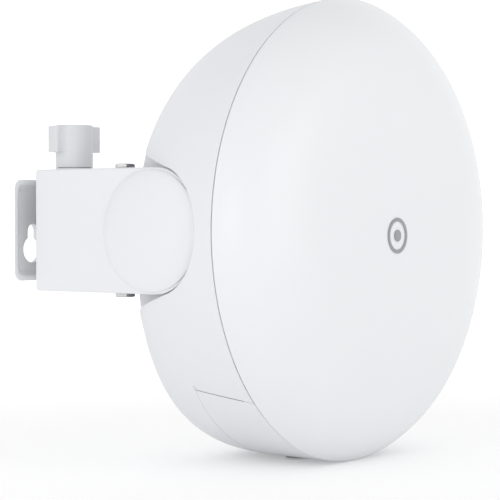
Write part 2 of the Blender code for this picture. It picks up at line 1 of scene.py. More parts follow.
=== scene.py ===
"""Outdoor wireless bridge: the visual model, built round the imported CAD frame."""
import math

import bmesh
import bpy
from mathutils import Matrix, Vector


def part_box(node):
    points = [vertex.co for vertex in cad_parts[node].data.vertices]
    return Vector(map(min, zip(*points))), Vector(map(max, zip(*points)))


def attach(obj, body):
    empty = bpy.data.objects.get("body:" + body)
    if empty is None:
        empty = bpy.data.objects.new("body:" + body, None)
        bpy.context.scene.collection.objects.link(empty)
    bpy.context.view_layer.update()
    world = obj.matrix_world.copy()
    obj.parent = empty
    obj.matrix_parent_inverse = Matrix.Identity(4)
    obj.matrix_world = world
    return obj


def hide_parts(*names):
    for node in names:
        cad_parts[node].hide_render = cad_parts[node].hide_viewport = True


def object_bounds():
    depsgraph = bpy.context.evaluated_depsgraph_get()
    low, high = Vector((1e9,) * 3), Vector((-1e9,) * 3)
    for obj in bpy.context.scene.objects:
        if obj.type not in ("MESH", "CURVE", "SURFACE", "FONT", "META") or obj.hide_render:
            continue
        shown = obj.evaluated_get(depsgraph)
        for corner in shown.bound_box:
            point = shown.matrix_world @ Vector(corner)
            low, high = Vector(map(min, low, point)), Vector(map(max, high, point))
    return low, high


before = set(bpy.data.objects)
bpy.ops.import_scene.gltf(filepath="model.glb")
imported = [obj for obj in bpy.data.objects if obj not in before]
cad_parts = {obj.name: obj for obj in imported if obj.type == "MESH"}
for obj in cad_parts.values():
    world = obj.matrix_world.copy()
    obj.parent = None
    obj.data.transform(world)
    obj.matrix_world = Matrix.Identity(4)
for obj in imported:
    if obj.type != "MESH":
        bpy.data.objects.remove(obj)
CAD_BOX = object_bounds()

# ---- places, read from the frame ------------------------------------------------------------
SEAM_LOW, SEAM_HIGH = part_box("seam_gasket")
SEAM = (Vector(SEAM_LOW) + Vector(SEAM_HIGH)) / 2.0
RADOME_LOW, RADOME_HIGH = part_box("radome")
BOWL_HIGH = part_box("rear_shell")[1]
ARM_LOW, ARM_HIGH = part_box("arm_housing")
PLATE_LOW, PLATE_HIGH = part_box("wall_plate")
KNOB_LOW, KNOB_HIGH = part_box("knob")
BOLT_LOW, BOLT_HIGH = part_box("clamp_bolt")
CAP_LOW, CAP_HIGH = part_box("arm_cap")
STUD_LOW, STUD_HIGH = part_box("knob_stud")

DISH_R = (RADOME_HIGH[0] - RADOME_LOW[0]) / 2.0
RADOME_DEPTH = SEAM.y - RADOME_LOW[1]
BOWL_DEPTH = BOWL_HIGH[1] - SEAM.y
ARM_R = ARM_HIGH[2]
PIVOT = Vector((0.0, ARM_LOW[1] + ARM_R, 0.0))
KNOB_AXIS = Vector(((STUD_LOW[0] + STUD_HIGH[0]) / 2.0, (STUD_LOW[1] + STUD_HIGH[1]) / 2.0, 0.0))
BOLT_AXIS = Vector(((BOLT_LOW[0] + BOLT_HIGH[0]) / 2.0, (BOLT_LOW[1] + BOLT_HIGH[1]) / 2.0, 0.0))

# ---- sizes that the frame's boxes don't give, in metres ---------------------------------------
SHELL = 0.0025              # wall of the radome, the rear shell and the port cover
GAP = 0.0003                # clearance between touching parts
LIP_Y = 0.0009              # half the seal's width
SEAM_EDGE = 0.00022         # half the gap that shows between radome and shell
SEAM_LIP = 0.0008           # thickness of the lip over the seal
RADOME_POWERS = (7.5, 1.10)     # flatness of the face, fullness of the rim
BOWL_POWERS = (3.77, 7.2)       # above and below, as the next one
BOWL_OFFSETS = (0.080, 0.032)   # a smaller one leans in less at the mouth
BOWL_BLEND = 6.0            # how quickly the lower form takes over
POCKET_R = 0.0338
POCKET_FLARE = math.radians(15.5)
POCKET_FLOOR = 0.0155       # along x
COVER_CORNER = (SEAM.y + 0.0385, -0.0845)   # y and z of the port cover's upper rear corner
COVER_TILT = math.radians(7.4)
COVER_REACH = 0.08          # past the bowl's edge from that corner
HEX_FLATS = 0.0100
HEX_SPIN = math.radians(18)
WING_TURN = math.radians(-14.6)
WING_LOW = 0.0429
PLATE_DRAFT = 0.0062        # how far each side of the wall plate comes in towards the wall
PLATE_FLOOR = 0.0033
KEYHOLE_X = 0.0110
FOOT_SCREW_Z = (0.0165, -0.0196)


# ---- mesh helpers ---------------------------------------------------------------------------
def finish_mesh(obj, angle=32.0):
    """Welds and cleans the mesh, then shades it smooth but for edges sharper than the angle."""
    mesh = obj.data
    work = bmesh.new()
    work.from_mesh(mesh)
    bmesh.ops.remove_doubles(work, verts=work.verts, dist=1e-6)
    bmesh.ops.dissolve_degenerate(work, edges=work.edges, dist=1e-6)
    bmesh.ops.recalc_face_normals(work, faces=work.faces)
    work.to_mesh(mesh)
    work.free()
    for face in mesh.polygons:
        face.use_smooth = True
    mesh.set_sharp_from_angle(angle=math.radians(angle))
    return obj


def new_object(name, work):
    """Makes a linked object of a bmesh, which it frees."""
    mesh = bpy.data.meshes.new(name)
    work.to_mesh(mesh)
    work.free()
    obj = bpy.data.objects.new(name, mesh)
    bpy.context.scene.collection.objects.link(obj)
    return obj


def turned(name, profile, axis, place, steps=128):
    """Turns (radius, height) points about an axis through place. Radius 0 becomes a pole."""
    turn = {"-Y": Matrix.Rotation(math.radians(90), 4, "X"), "-X": Matrix.Rotation(math.radians(-90), 4, "Y"),
            "+Z": Matrix.Identity(4)}[axis]
    move = Matrix.Translation(place) @ turn
    work = bmesh.new()
    rings = []
    for radius, height in profile:
        if radius < 1e-7:
            rings.append([work.verts.new(move @ Vector((0.0, 0.0, height)))])
            continue
        ring = []
        for i in range(steps):
            a = 2.0 * math.pi * i / steps
            ring.append(work.verts.new(move @ Vector((radius * math.cos(a), radius * math.sin(a), height))))
        rings.append(ring)
    for near, far in zip(rings, rings[1:]):
        for i in range(steps):
            j = (i + 1) % steps
            if len(near) == 1 and len(far) > 1:
                work.faces.new((near[0], far[i], far[j]))
            elif len(far) == 1 and len(near) > 1:
                work.faces.new((near[i], near[j], far[0]))
            elif len(near) > 1:
                work.faces.new((near[i], near[j], far[j], far[i]))
    bmesh.ops.recalc_face_normals(work, faces=work.faces)
    return new_object(name, work)


def rounded(points, radius, steps=4):
    """Rounds each inner corner of an open (radius, height) line."""
    out = [points[0]]
    for before, here, after in zip(points, points[1:], points[2:]):
        p, q, r = Vector(before), Vector(here), Vector(after)
        back = min(radius, (p - q).length * 0.48, (r - q).length * 0.48)
        start, end = q + (p - q).normalized() * back, q + (r - q).normalized() * back
        for i in range(steps + 1):
            t = i / steps
            spot = (1 - t) ** 2 * start + 2 * t * (1 - t) * q + t ** 2 * end
            out.append((spot.x, spot.y))
    out.append(points[-1])
    return out


def block(name, low, high):
    """A box between two corners."""
    work = bmesh.new()
    bmesh.ops.create_cube(work, size=1.0)
    for v in work.verts:
        v.co = Vector([(a + b) / 2.0 + c * (b - a) for a, b, c in zip(low, high, v.co)])
    return new_object(name, work)


def rod(name, axis, start, radius, length, sides=48, spin=0.0):
    """A cylinder or prism that runs from start along an axis."""
    work = bmesh.new()
    bmesh.ops.create_cone(work, cap_ends=True, segments=sides, radius1=radius, radius2=radius, depth=length)
    turn = {"X": Matrix.Rotation(math.radians(90), 4, "Y"), "Y": Matrix.Rotation(math.radians(-90), 4, "X"),
            "Z": Matrix.Identity(4)}[axis]
    middle = Matrix.Rotation(spin, 4, "Z") @ Matrix.Translation((0, 0, length / 2))
    bmesh.ops.transform(work, matrix=Matrix.Translation(start) @ turn @ middle, verts=work.verts)
    return new_object(name, work)


def outline(name, points, axis, low, high):
    """A prism with the given 2-D outline: along X the points are (y, z), along Y (x, z), along Z (x, y)."""
    place = {"X": lambda p, h: (h, p[0], p[1]), "Y": lambda p, h: (p[0], h, p[1]),
             "Z": lambda p, h: (p[0], p[1], h)}[axis]
    work = bmesh.new()
    near = [work.verts.new(place(p, low)) for p in points]
    far = [work.verts.new(place(p, high)) for p in points]
    work.faces.new(near)
    work.faces.new(far)
    for i in range(len(points)):
        j = (i + 1) % len(points)
        work.faces.new((near[i], near[j], far[j], far[i]))
    bmesh.ops.recalc_face_normals(work, faces=work.faces)
    return new_object(name, work)


def apply(obj):
    """Gives the object the mesh that its modifiers make."""
    graph = bpy.context.evaluated_depsgraph_get()
    graph.update()
    mesh = bpy.data.meshes.new_from_object(obj.evaluated_get(graph))
    old = obj.data
    obj.modifiers.clear()
    obj.data = mesh
    bpy.data.meshes.remove(old)
    return obj


def change(obj, operation, *others):
    """Applies one boolean operation with each of the others, which it uses up."""
    for other in others:
        step = obj.modifiers.new("step", "BOOLEAN")
        step.operation = operation
        step.solver = "EXACT"
        step.object = other
        apply(obj)
        bpy.data.objects.remove(other)
    return obj


def cut(obj, *others):
    return change(obj, "DIFFERENCE", *others)


def soften(obj, width, segments=3, angle=35.0):
    """Rounds every edge sharper than the angle, as a moulding has."""
    work = bmesh.new()
    work.from_mesh(obj.data)
    bmesh.ops.remove_doubles(work, verts=work.verts, dist=1e-6)
    work.to_mesh(obj.data)
    work.free()
    step = obj.modifiers.new("soften", "BEVEL")
    step.width = width
    step.segments = segments
    step.limit_method = "ANGLE"
    step.angle_limit = math.radians(angle)
    step.use_clamp_overlap = True
    step.miter_outer = "MITER_ARC"
    return apply(obj)


# ---- dish -----------------------------------------------------------------------------------
def radome_line(inset, count=56):
    """From the middle of the face to the rim at the seam, closer together towards the rim."""
    rim = DISH_R - inset
    rise = RADOME_DEPTH - LIP_Y - inset
    line = [(0.0, RADOME_DEPTH - inset)]
    for i in range(1, count + 1):
        share = 1.0 - (1.0 - i / count) ** 2.0
        drop = max(0.0, 1.0 - share ** RADOME_POWERS[0]) ** (1.0 / RADOME_POWERS[1])
        line.append((rim * share, LIP_Y + rise * drop))
    return line


def make_radome():
    """Front shell, with a thin lip that comes over the seal at the seam."""
    outer = radome_line(0.0)
    corner = 0.0003
    lip = [(DISH_R, SEAM_EDGE + corner), (DISH_R - corner, SEAM_EDGE), (DISH_R - SEAM_LIP, SEAM_EDGE),
           (DISH_R - SEAM_LIP, LIP_Y), (DISH_R - SHELL, LIP_Y)]
    inner = radome_line(SHELL, 30)[:-1]
    obj = turned("radome_shell", outer[:-1] + lip + inner[::-1], "-Y", SEAM, steps=192)
    return finish_mesh(obj, 40.0)


def bowl_radius(y, angle, inset):
    """The bowl leans in at its mouth, is rounded at the back and is fuller below."""
    low = ((1.0 - math.sin(angle)) / 2.0) ** BOWL_BLEND
    power = BOWL_POWERS[0] + (BOWL_POWERS[1] - BOWL_POWERS[0]) * low
    offset = BOWL_OFFSETS[0] + (BOWL_OFFSETS[1] - BOWL_OFFSETS[0]) * low
    depth = BOWL_DEPTH - inset
    here = (max(y, 0.0) + offset) / (depth + offset)
    mouth = offset / (depth + offset)
    return (DISH_R - inset) * max(0.0, (1.0 - here ** power) / (1.0 - mouth ** power)) ** (1.0 / power)


def bowl(name, inset, mouth, around=176, along=44):
    """Solid form of the bowl, drawn in by inset, with its flat mouth at y = mouth from the seam."""
    work = bmesh.new()
    rings = []
    for j in range(along):
        y = mouth + (BOWL_DEPTH - inset - mouth) * math.sin(0.5 * math.pi * j / along)
        ring = []
        for i in range(around):
            a = 2.0 * math.pi * i / around
            r = bowl_radius(y, a, inset)
            ring.append(work.verts.new(SEAM + Vector((r * math.cos(a), y, r * math.sin(a)))))
        rings.append(ring)
    pole = work.verts.new(SEAM + Vector((0.0, BOWL_DEPTH - inset, 0.0)))
    centre = work.verts.new(SEAM + Vector((0.0, mouth, 0.0)))
    for near, far in zip(rings, rings[1:]):
        for i in range(around):
            j = (i + 1) % around
            work.faces.new((near[i], near[j], far[j], far[i]))
    for i in range(around):
        j = (i + 1) % around
        work.faces.new((rings[-1][i], rings[-1][j], pole))
        work.faces.new((rings[0][j], rings[0][i], centre))
    bmesh.ops.recalc_face_normals(work, faces=work.faces)
    return new_object(name, work)


def pocket(name, grow):
    """Round pocket about the elevation axis, flared to the rear so that the arm can swing."""
    r, tail = POCKET_R + grow, 0.12
    points = []
    for i in range(65):
        a = math.pi / 2 + POCKET_FLARE + (math.pi - 2 * POCKET_FLARE) * i / 64
        points.append((PIVOT.y + r * math.cos(a), r * math.sin(a)))
    y = PIVOT.y + tail * math.cos(POCKET_FLARE) - r * math.sin(POCKET_FLARE)
    z = tail * math.sin(POCKET_FLARE) + r * math.cos(POCKET_FLARE)
    return outline(name, points + [(y, -z), (y, z)], "X", -0.06, POCKET_FLOOR + grow)


def cover_outline(name, places):
    """A prism along X from (y, z) places in the port cover's own tilted frame."""
    points = []
    for y, z in places:
        points.append((COVER_CORNER[0] + y * math.cos(COVER_TILT) - z * math.sin(COVER_TILT),
                       COVER_CORNER[1] + y * math.sin(COVER_TILT) + z * math.cos(COVER_TILT)))
    return outline(name, points, "X", SEAM.x - 0.16, SEAM.x + 0.16)


def window(name, top, rear):
    """Below and in front of the port cover's upper and rear edges."""
    return cover_outline(name, ((-COVER_REACH, -COVER_REACH), (-COVER_REACH, -top), (-rear, -top),
                                (-rear, -COVER_REACH)))


def seal_seat(name):
    """Room for the seal behind the thin lip that narrows the seam."""
    ahead = 0.004
    return rod(name, "Y", SEAM - Vector((0.0, ahead, 0.0)), DISH_R - SEAM_LIP, ahead + LIP_Y, 192)


def groove():
    """Shallow finger groove over the cover's upper edge, wider to the rear."""
    skin = cut(bowl("groove_air", -0.001, -0.004), bowl("groove_floor", 0.0006, -0.006))
    places = ((-0.0330, -0.0010), (0.0, -0.0010), (0.0, 0.0026), (-0.0330, 0.0002))
    return change(skin, "INTERSECT", cover_outline("groove_room", places))


def make_rear_shell():
    """Hollow bowl with the arm's pocket, the port cover's window and the groove over it."""
    shell = bowl("rear_bowl", 0.0, SEAM_EDGE)
    core = cut(bowl("bowl_core", SHELL, -0.004), pocket("pocket_skin", SHELL))
    cut(shell, pocket("pocket_air", 0.0), core, seal_seat("shell_seat"),
        window("cover_air", 0.0, 0.0), groove())
    return finish_mesh(shell, 30.0)


def make_port_cover():
    """The part of the bowl inside the window, with a hole for the cable's grommet."""
    beside = 0.0002     # how far it stands back from the shell
    cover = bowl("port_cover_panel", beside, SEAM_EDGE)
    cut(cover, bowl("cover_core", SHELL, -0.004), seal_seat("cover_seat"))
    change(cover, "INTERSECT", window("cover_room", beside, 0.00003))
    low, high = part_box("cable_grommet")
    middle = ((low[0] + high[0]) / 2, (low[1] + high[1]) / 2, -0.16)
    cut(cover, rod("cable_hole", "Z", middle, 0.0065, 0.06))
    return finish_mesh(cover, 30.0)


# ---- arm ------------------------------------------------------------------------------------
def round_corner(centre, radius, start, end, count=6):
    """Points on an arc, with its angles in degrees."""
    spots = []
    for i in range(count + 1):
        a = math.radians(start + (end - start) * i / count)
        spots.append((centre[0] + radius * math.cos(a), centre[1] + radius * math.sin(a)))
    return spots


def make_arm():
    """Flat-sided arm with a split clamp ring at the pivot and a hollow rear end."""
    r, rear, corner = ARM_R, ARM_HIGH[1], 0.0016
    points = round_corner((PIVOT.y, 0.0), r, 90, 270, 72)
    points += round_corner((rear - corner, -r + corner), corner, -90, 0)
    points += round_corner((rear - corner, r - corner), corner, 0, 90)
    arm = outline("arm_body", points, "X", ARM_LOW[0], ARM_HIGH[0])
    soften(arm, 0.0011, 4)
    x0, x1 = ARM_LOW[0], ARM_HIGH[0]
    wall, slit_half, bore_r, cap_seat_r = 0.0035, 0.0012, 0.0261, 0.0301
    bolt_r, stud_r, stud_head_r, arm_wall = 0.0033, 0.0043, 0.0085, 0.0040
    hollow = block("arm_air", (x0 + wall, KNOB_AXIS.y - 0.0125, -0.0246), (x1 - wall, 0.01, 0.0246))
    slit = block("slit_air", (x0 + 0.0040, PIVOT.y + 0.022, -slit_half),
                 (x1 + 0.01, BOLT_AXIS.y + 0.008, slit_half))
    cut(arm, rod("bore_air", "X", (x0 - 0.01, PIVOT.y, 0.0), bore_r, 0.06, 96),
        rod("cap_air", "X", (x0 - 0.01, PIVOT.y, 0.0), cap_seat_r, 0.0120, 96), hollow, slit,
        rod("bolt_air", "Z", (BOLT_AXIS.x, BOLT_AXIS.y, -0.05), bolt_r, 0.10),
        rod("stud_air", "Z", (KNOB_AXIS.x, KNOB_AXIS.y, -0.05), stud_r, 0.10),
        rod("head_air", "Z", (KNOB_AXIS.x, KNOB_AXIS.y, -0.045), stud_head_r, 0.045 - r + arm_wall))
    return finish_mesh(arm, 35.0)


def make_cap():
    """Crowned disc that plugs the clamp ring; its edge rolls over to a fine shadow line."""
    r = CAP_HIGH[2]
    base, edge = -ARM_LOW[0] + GAP, 0.0004
    rise = -CAP_LOW[0] - base - edge
    line = [(0.0, base + edge + rise)]
    for i in range(1, 41):
        share = 1.0 - (1.0 - i / 40) ** 2.0
        line.append((r * share, base + edge + rise * max(0.0, 1.0 - share ** 2.2) ** 0.60))
    spigot, end, bevel = 0.0297, -CAP_HIGH[0], 0.0005
    line += [(r - 0.0002, base), (spigot, base), (spigot, end + bevel), (spigot - bevel, end), (0.0, end)]
    return finish_mesh(turned("pivot_cap", line, "-X", PIVOT, 144), 40.0)


def make_shank():
    """Shank of the clamp bolt, rounded at its tip."""
    r, top = 0.0029, ARM_R + 0.001
    line = rounded([(0.0, BOLT_LOW[2]), (r, BOLT_LOW[2]), (r, top), (0.0, top)], 0.0005)
    return finish_mesh(turned("bolt_shank", line, "+Z", BOLT_AXIS, 32))


def hexagon(name, low, high, chamfer_top, chamfer_low):
    """A hexagon prism whose corners are turned down, as on a real bolt head."""
    wide, flat, past = HEX_FLATS / math.sqrt(3.0), HEX_FLATS * 0.47, 0.001
    body = rod(name, "Z", (BOLT_AXIS.x, BOLT_AXIS.y, low), wide, high - low, 6, HEX_SPIN)
    if chamfer_low:
        line = [(0.0, low), (flat, low), (wide + 0.0001, low + 0.0006)]
    else:
        line = [(0.0, low - past), (wide + past, low - past)]
    if chamfer_top:
        line += [(wide + 0.0001, high - 0.0006), (flat, high), (0.0, high)]
    else:
        line += [(wide + past, high + past), (0.0, high + past)]
    return change(body, "INTERSECT", turned("turned_down", line, "+Z", BOLT_AXIS, 64))


def make_head_and_nut():
    """Head of the clamp bolt, dished on top, and its nut."""
    top = BOLT_HIGH[2]
    head = hexagon("bolt_head", ARM_R + GAP, top, True, False)
    dish = [(0.0, top - 0.0005), (0.0026, top - 0.0005), (0.0034, top + 0.0002), (0.0, top + 0.0002)]
    cut(head, turned("head_dish", dish, "+Z", BOLT_AXIS, 48))
    soften(head, 0.00018, 2, 25.0)
    nut = hexagon("clamp_hex_nut", BOLT_LOW[2], -ARM_R - GAP, False, True)
    cut(nut, rod("nut_air", "Z", (BOLT_AXIS.x, BOLT_AXIS.y, -0.05), 0.0032, 0.03))
    soften(nut, 0.00018, 2, 25.0)
    return finish_mesh(head, 40.0), finish_mesh(nut, 40.0)


# ---- knob -----------------------------------------------------------------------------------
def make_knob():
    """Hand knob: round hub, two wings that run into it through hollow fillets, a dished top."""
    low, high, hub_r = KNOB_LOW[2], KNOB_HIGH[2], 0.0103
    hub = turned("knob_body", [(0.0, low), (hub_r, low), (hub_r, high), (0.0, high)], "+Z", KNOB_AXIS, 96)
    reach, half, corner, fillet = 0.0147, 0.0045, 0.0016, 0.0060
    side = half + fillet
    along = math.sqrt((hub_r - 0.0002 + fillet) ** 2 - side ** 2)
    quarter = round_corner((reach - corner, half - corner), corner, 0, 90, 6)
    quarter += round_corner((along, side), fillet, 270, 180 + math.degrees(math.atan2(side, along)), 14)
    points = []
    for sx, sy in ((1, 1), (-1, 1), (-1, -1), (1, -1)):
        points += [(sx * x, sy * y) for x, y in (quarter if sx == sy else quarter[::-1])]
    points = [(KNOB_AXIS.x + x * math.cos(WING_TURN) - y * math.sin(WING_TURN),
               KNOB_AXIS.y + x * math.sin(WING_TURN) + y * math.cos(WING_TURN)) for x, y in points]
    change(hub, "UNION", outline("knob_wings", points, "Z", WING_LOW, high - 0.0006))
    soften(hub, 0.0012, 4, 40.0)
    top_dish = [(0.0, high - 0.0004), (0.0062, high - 0.0004), (0.0070, high + 0.001), (0.0, high + 0.001)]
    cut(hub, rod("socket_air", "Z", (KNOB_AXIS.x, KNOB_AXIS.y, low - 0.002), 0.0072, 0.0090),
        rod("thread_air", "Z", (KNOB_AXIS.x, KNOB_AXIS.y, low - 0.002), 0.0043, 0.0195),
        turned("top_dish", top_dish, "+Z", KNOB_AXIS, 64))
    return finish_mesh(hub, 40.0)


# ---- wall plate -----------------------------------------------------------------------------
def square_line(half, corner):
    """Outline of a square with round corners."""
    spots = []
    for i, (sx, sz) in enumerate(((1, 1), (-1, 1), (-1, -1), (1, -1))):
        spots += round_corner((sx * (half - corner), sz * (half - corner)), corner, 90 * i, 90 * (i + 1), 8)
    return spots


def keyhole_line(x):
    """Outline of a keyhole: a round head below a narrower slot."""
    head, slot, head_z, slot_z = 0.0074, 0.0039, -0.0107, -0.0005
    meet = math.degrees(math.acos(slot / head))
    spots = round_corner((x, head_z), head, 180 - meet, 360 + meet, 36)
    return spots + round_corner((x, slot_z), slot, 0, 180, 20)


def narrow(obj, high, share):
    """Draws in the end of a prism that lies at the given y."""
    for vertex in obj.data.vertices:
        if abs(vertex.co.y - high) < 1e-6:
            vertex.co.x *= share
            vertex.co.z *= share
    return obj


def make_plate():
    """Shallow pan that flares towards its front rim, with two keyholes in its floor."""
    half, rim, depth = PLATE_HIGH[0], 0.0030, -PLATE_LOW[1]
    slope = PLATE_DRAFT / depth
    plate = outline("wall_plate_body", square_line(half, 0.0052), "Y", -depth, 0.0)
    narrow(plate, 0.0, (half - PLATE_DRAFT) / half)
    mouth, inner = half - rim + slope * depth, half - rim - slope * (depth - PLATE_FLOOR)
    recess = outline("recess_air", square_line(mouth, 0.0046), "Y", -2 * depth, -PLATE_FLOOR)
    cut(plate, narrow(recess, -PLATE_FLOOR, inner / mouth))
    soften(plate, 0.0007, 4, 30.0)
    for x in (-KEYHOLE_X, KEYHOLE_X):
        cut(plate, outline("keyhole_air", keyhole_line(x), "Y", -0.009, 0.003))
    for z in FOOT_SCREW_Z:
        cut(plate, rod("screw_air", "Y", (0.0, -0.02, z), 0.0019, 0.04))
    return finish_mesh(plate, 30.0)


# ---- badge ----------------------------------------------------------------------------------
def make_badge_ring():
    """Flat ring with softened edges, a plain mark in place of the maker's sign."""
    low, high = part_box("badge_ring")
    place = (Vector(low) + Vector(high)) / 2.0
    half = place.y - low[1]
    outer = (high[0] - low[0]) / 2.0
    inner, middle, back = outer - 0.0020, outer - 0.0012, half - 0.0001
    line = [(middle, back), (outer, back), (outer, -half), (inner, -half), (inner, back), (middle, back)]
    return finish_mesh(turned("badge_ring_fine", rounded(line, 0.0001), "-Y", place, 160), 40.0)


# ---- materials ------------------------------------------------------------------------------
class Nodes:
    """Small helper that makes and links the nodes of one material."""

    def __init__(self, name):
        self.material = bpy.data.materials.new(name)
        self.material.use_nodes = True
        self.tree = self.material.node_tree
        self.tree.nodes.clear()
        self.shader = self.tree.nodes.new("ShaderNodeBsdfPrincipled")
        output = self.tree.nodes.new("ShaderNodeOutputMaterial")
        self.tree.links.new(self.shader.outputs["BSDF"], output.inputs["Surface"])
        self.place = self.tree.nodes.new("ShaderNodeTexCoord").outputs["Object"]

    def link(self, source, target):
        self.tree.links.new(source, target)

    def noise(self, scale, detail=3.0, rough=0.5, stretch=None):
        node = self.tree.nodes.new("ShaderNodeTexNoise")
        node.inputs["Scale"].default_value = scale
        node.inputs["Detail"].default_value = detail
        node.inputs["Roughness"].default_value = rough
        source = self.place
        if stretch:
            mapping = self.tree.nodes.new("ShaderNodeMapping")
            mapping.inputs["Scale"].default_value = stretch
            self.link(source, mapping.inputs["Vector"])
            source = mapping.outputs["Vector"]
        self.link(source, node.inputs["Vector"])
        return node.outputs["Fac"]

    def ramp(self, source, low, high, start=0.3, end=0.7):
        node = self.tree.nodes.new("ShaderNodeValToRGB")
        node.color_ramp.elements[0].position = start
        node.color_ramp.elements[1].position = end
        node.color_ramp.elements[0].color = (*low, 1.0)
        node.color_ramp.elements[1].color = (*high, 1.0)
        self.link(source, node.inputs["Fac"])
        return node.outputs["Color"]

    def span(self, source, low, high):
        node = self.tree.nodes.new("ShaderNodeMapRange")
        node.inputs["From Min"].default_value = 0.3
        node.inputs["From Max"].default_value = 0.7
        node.inputs["To Min"].default_value = low
        node.inputs["To Max"].default_value = high
        self.link(source, node.inputs["Value"])
        return node.outputs["Result"]

    def bump(self, source, distance, strength=1.0, under=None):
        node = self.tree.nodes.new("ShaderNodeBump")
        node.inputs["Distance"].default_value = distance
        node.inputs["Strength"].default_value = strength
        self.link(source, node.inputs["Height"])
        if under:
            self.link(under, node.inputs["Normal"])
        return node.outputs["Normal"]


def grain(name, low, high, rough, fine=1400.0, depth=0.00003, metal=0.0, stretch=None):
    """Moulded or rolled surface: cloudy colour, uneven gloss and a fine grain."""
    n = Nodes(name)
    cloud = n.noise(22.0, 4.0, 0.55)
    n.link(n.ramp(cloud, low, high), n.shader.inputs["Base Color"])
    n.link(n.span(n.noise(90.0, 3.0, 0.6), rough[0], rough[1]), n.shader.inputs["Roughness"])
    texture = n.noise(fine, 2.0, 0.6, stretch)
    n.link(n.bump(texture, depth, 0.6), n.shader.inputs["Normal"])
    n.shader.inputs["Metallic"].default_value = metal
    return n.material


def white_plastic(name, low, high, rough, depth=0.00002):
    """Spark-eroded white plastic: a soft, very fine grain with faint flow clouding."""
    n = Nodes(name)
    cloud = n.noise(9.0, 4.0, 0.5)
    n.link(n.ramp(cloud, low, high, 0.25, 0.75), n.shader.inputs["Base Color"])
    n.link(n.span(n.noise(60.0, 4.0, 0.6), rough[0], rough[1]), n.shader.inputs["Roughness"])
    waves = n.bump(n.noise(7.0, 1.0, 0.4), 0.00010, 0.25)
    n.link(n.bump(n.noise(2600.0, 2.0, 0.7), depth, 0.45, waves), n.shader.inputs["Normal"])
    n.shader.inputs["IOR"].default_value = 1.46
    return n.material


def board_material():
    """Green solder mask with fine tracks and bright pads."""
    n = Nodes("solder_mask")
    brick = n.tree.nodes.new("ShaderNodeTexBrick")
    brick.inputs["Scale"].default_value = 190.0
    brick.inputs["Mortar Size"].default_value = 0.03
    brick.inputs["Color1"].default_value = (0.030, 0.145, 0.070, 1.0)
    brick.inputs["Color2"].default_value = (0.040, 0.190, 0.090, 1.0)
    brick.inputs["Mortar"].default_value = (0.020, 0.090, 0.045, 1.0)
    turn = n.tree.nodes.new("ShaderNodeMapping")
    turn.inputs["Rotation"].default_value = (math.radians(90), 0.0, 0.0)
    n.link(n.place, turn.inputs["Vector"])
    n.link(turn.outputs["Vector"], brick.inputs["Vector"])
    n.link(brick.outputs["Color"], n.shader.inputs["Base Color"])
    n.link(n.bump(brick.outputs["Fac"], 0.00006, 0.5), n.shader.inputs["Normal"])
    n.link(n.span(n.noise(80.0), 0.30, 0.42), n.shader.inputs["Roughness"])
    return n.material


FACE_WHITE = white_plastic("radome_white", (0.835, 0.845, 0.865), (0.850, 0.858, 0.876), (0.30, 0.34))
SHELL_WHITE = white_plastic("shell_white", (0.820, 0.830, 0.860), (0.836, 0.846, 0.872), (0.42, 0.50),
                            0.00003)
ARM_WHITE = white_plastic("arm_white", (0.825, 0.832, 0.856), (0.842, 0.850, 0.872), (0.36, 0.44), 0.00003)
KNOB_GREY = grain("knob_grey", (0.715, 0.722, 0.742), (0.740, 0.746, 0.766), (0.34, 0.44), 1800.0, 0.00004)
INNER_GREY = grain("inner_grey", (0.600, 0.608, 0.628), (0.640, 0.648, 0.664), (0.45, 0.58),
                   1500.0, 0.00005)
STEEL = grain("bright_steel", (0.52, 0.52, 0.53), (0.64, 0.64, 0.65), (0.24, 0.38), 1500.0, 0.00003, 1.0,
              (1.0, 1.0, 0.08))
SHEET = grain("shield_steel", (0.58, 0.57, 0.55), (0.68, 0.67, 0.65), (0.28, 0.40), 900.0, 0.00003, 1.0,
              (0.06, 1.0, 1.0))
CAST = grain("satin_aluminium", (0.64, 0.65, 0.67), (0.74, 0.75, 0.77), (0.34, 0.50), 700.0, 0.00005, 1.0)
SPUN = grain("spun_aluminium", (0.70, 0.71, 0.73), (0.78, 0.79, 0.81), (0.22, 0.34), 1400.0, 0.00003, 1.0,
             (0.1, 1.0, 1.0))
RUBBER = grain("black_rubber_matt", (0.022, 0.022, 0.024), (0.036, 0.036, 0.040), (0.62, 0.80),
               1600.0, 0.00006)
SEAL = grain("seam_seal", (0.70, 0.705, 0.73), (0.75, 0.755, 0.78), (0.60, 0.75), 1600.0, 0.00005)
GROMMET = grain("grommet_grey", (0.30, 0.305, 0.32), (0.36, 0.365, 0.38), (0.60, 0.75), 1600.0, 0.00006)
CERAMIC = grain("tan_ceramic", (0.58, 0.50, 0.37), (0.66, 0.58, 0.45), (0.45, 0.60), 1100.0, 0.00004)
BADGE = grain("badge_grey_print", (0.30, 0.305, 0.32), (0.35, 0.355, 0.37), (0.30, 0.40), 1500.0, 0.00003)
PIPE = grain("clear_pipe", (0.78, 0.84, 0.85), (0.84, 0.89, 0.90), (0.08, 0.16), 300.0, 0.00002)
PIPE.node_tree.nodes["Principled BSDF"].inputs["Transmission Weight"].default_value = 0.75
BOARD = board_material()


# ---- pieces ---------------------------------------------------------------------------------
def paint(obj, look):
    """Gives the object one material."""
    obj.data.materials.clear()
    obj.data.materials.append(look)
    return obj


def piece(obj, look, body, slot, *nodes):
    """Files a finished visual piece: its look, its body and the CAD it stands in for. The slot argument is
    not used.
    """
    paint(obj, look)
    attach(obj, body)
    if nodes:
        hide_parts(*nodes)
    return obj


